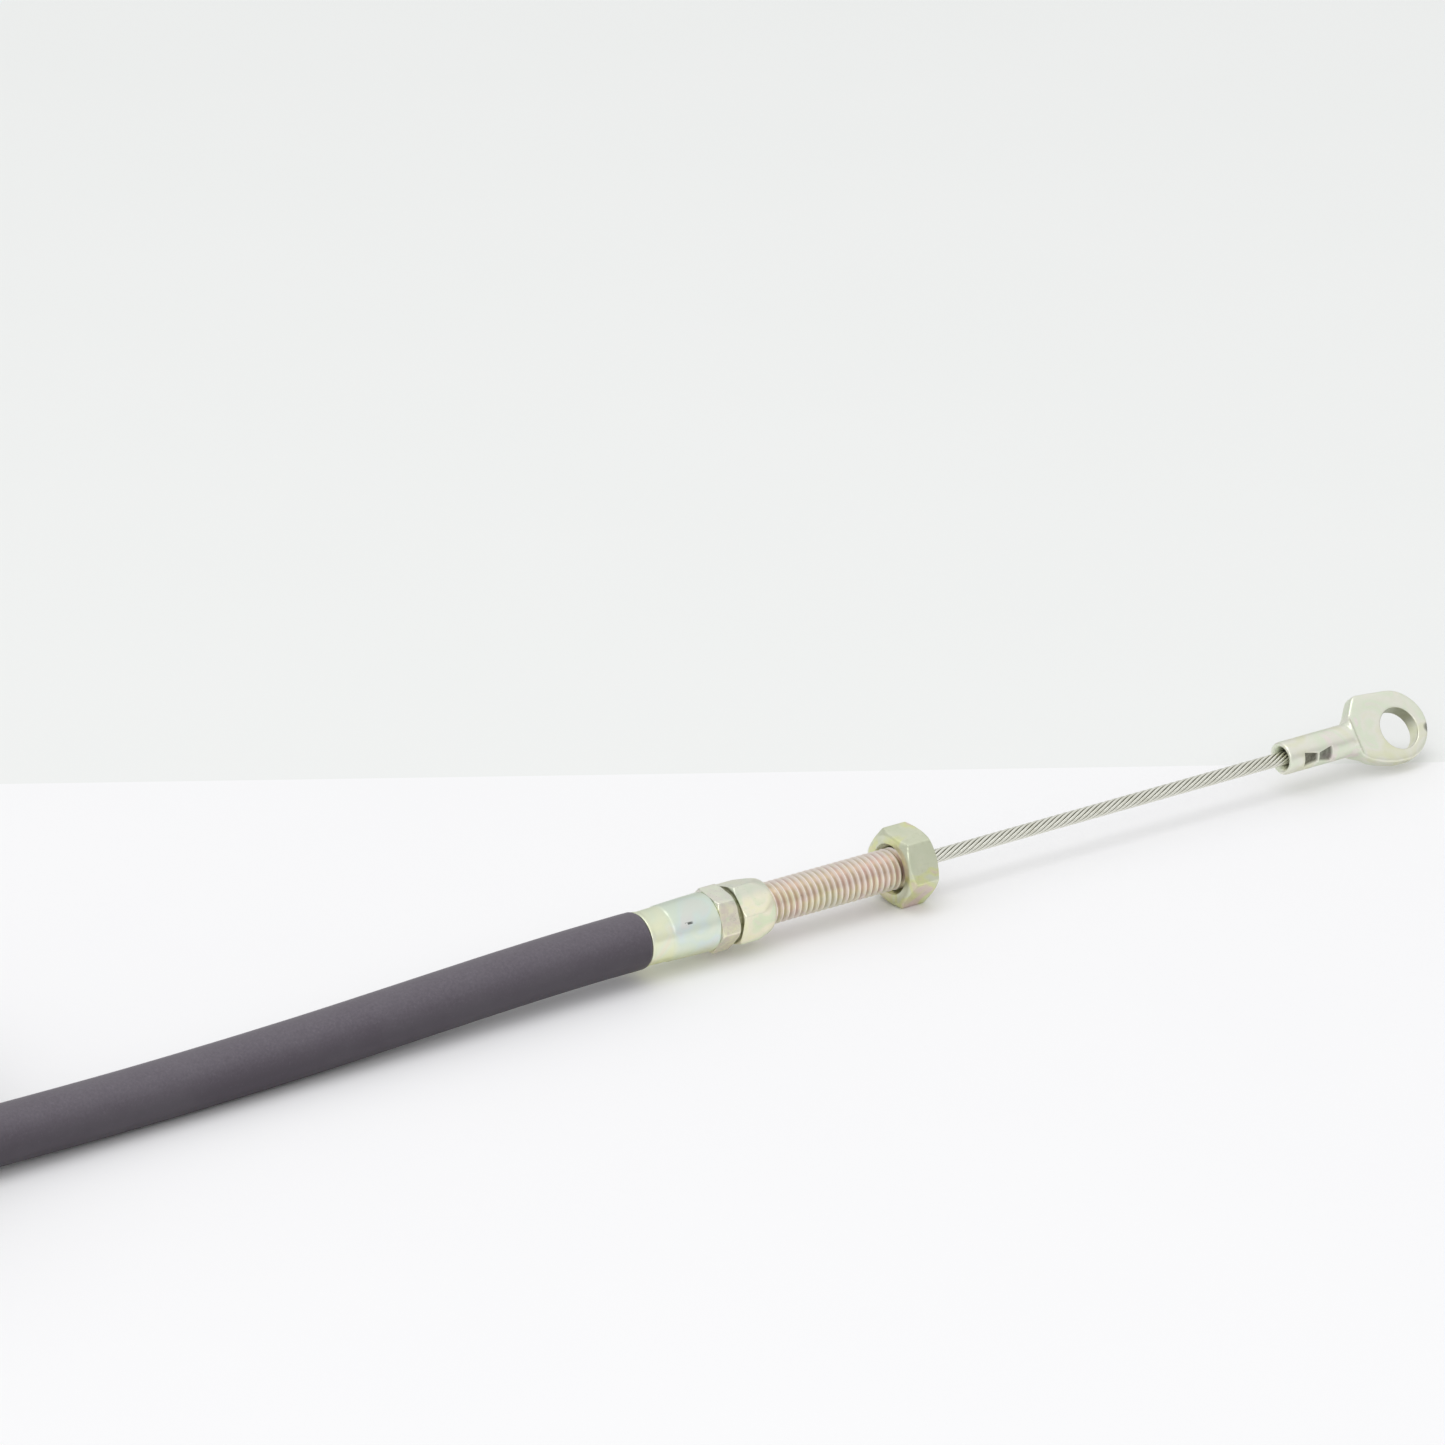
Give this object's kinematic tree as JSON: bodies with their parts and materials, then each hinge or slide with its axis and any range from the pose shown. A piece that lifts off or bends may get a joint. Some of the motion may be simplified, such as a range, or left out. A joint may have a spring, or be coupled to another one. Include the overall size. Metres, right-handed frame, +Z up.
{
  "type": "pull cable",
  "caption": "Flexible sheathed pull cable with a sliding stranded wire, crimped eye ends, threaded hexagon hubs with mounting nuts, and the spare conduit tied in a hank.",
  "frame": {"origin": "on the floor under the middle of the near end (ferrule to eye), measured without the conduit, the hank and the far end", "axes": "+X along the near end from its ferrule to its eye, +Z up, +Y towards the side where the hank lies"},
  "size_m": [0.4432, 0.0628, 0.0209],
  "materials": {
    "plated_hub": "yellow zinc plate, satin",
    "plated_ferrule": "yellow zinc plate, satin, bluish in places",
    "plated_nut": "yellow zinc plate, grey-green",
    "plated_eye": "yellow zinc plate, satin",
    "strand_wire": "bright drawn wire",
    "armour_steel": "plain drawn wire",
    "liner_plastic": "natural",
    "jacket_plastic": "semi-matte, fine grain",
    "tie_plastic": "moulded"
  },
  "bodies": {
    "root": {"near_hub": "plated_hub", "near_ferrule": "plated_ferrule", "near_liner": "liner_plastic", "conduit_jacket": "jacket_plastic", "conduit_armour": "armour_steel", "conduit_liner": "liner_plastic", "conduit_wire": "strand_wire", "hank_lower": "jacket_plastic", "hank_crossover": "jacket_plastic", "hank_upper_run": "jacket_plastic", "hank_upper_fold": "jacket_plastic", "far_jacket": "jacket_plastic", "far_hub": "plated_hub", "far_ferrule": "plated_ferrule", "far_liner": "liner_plastic", "hank_ties": "tie_plastic"},
    "near_core": {"near_inner_wire": "strand_wire", "near_eye": "plated_eye"},
    "near_nut": {"near_mounting_nut": "plated_nut"},
    "far_core": {"far_inner_wire": "strand_wire", "far_eye": "plated_eye"},
    "far_nut": {"far_mounting_nut": "plated_nut"}
  },
  "joints": [
    {"name": "near_core_slide", "type": "slide", "parent": "root", "child": "near_core", "axis": [1, 0, 0], "range_m": [-0.038, 0]},
    {"name": "far_core_slide", "type": "slide", "parent": "root", "child": "far_core", "axis": [1, 0, 0], "range_m": [0, 0.038]},
    {"name": "near_nut_slide", "type": "slide", "parent": "root", "child": "near_nut", "axis": [1, 0, 0], "range_m": [-0.0215, 0.0008]},
    {"name": "far_nut_slide", "type": "slide", "parent": "root", "child": "far_nut", "axis": [1, 0, 0], "range_m": [-0.0215, 0.0008]}
  ],
  "couplings": [
    {"joint": "far_core_slide", "follows": "near_core_slide", "ratio": -1}
  ]
}
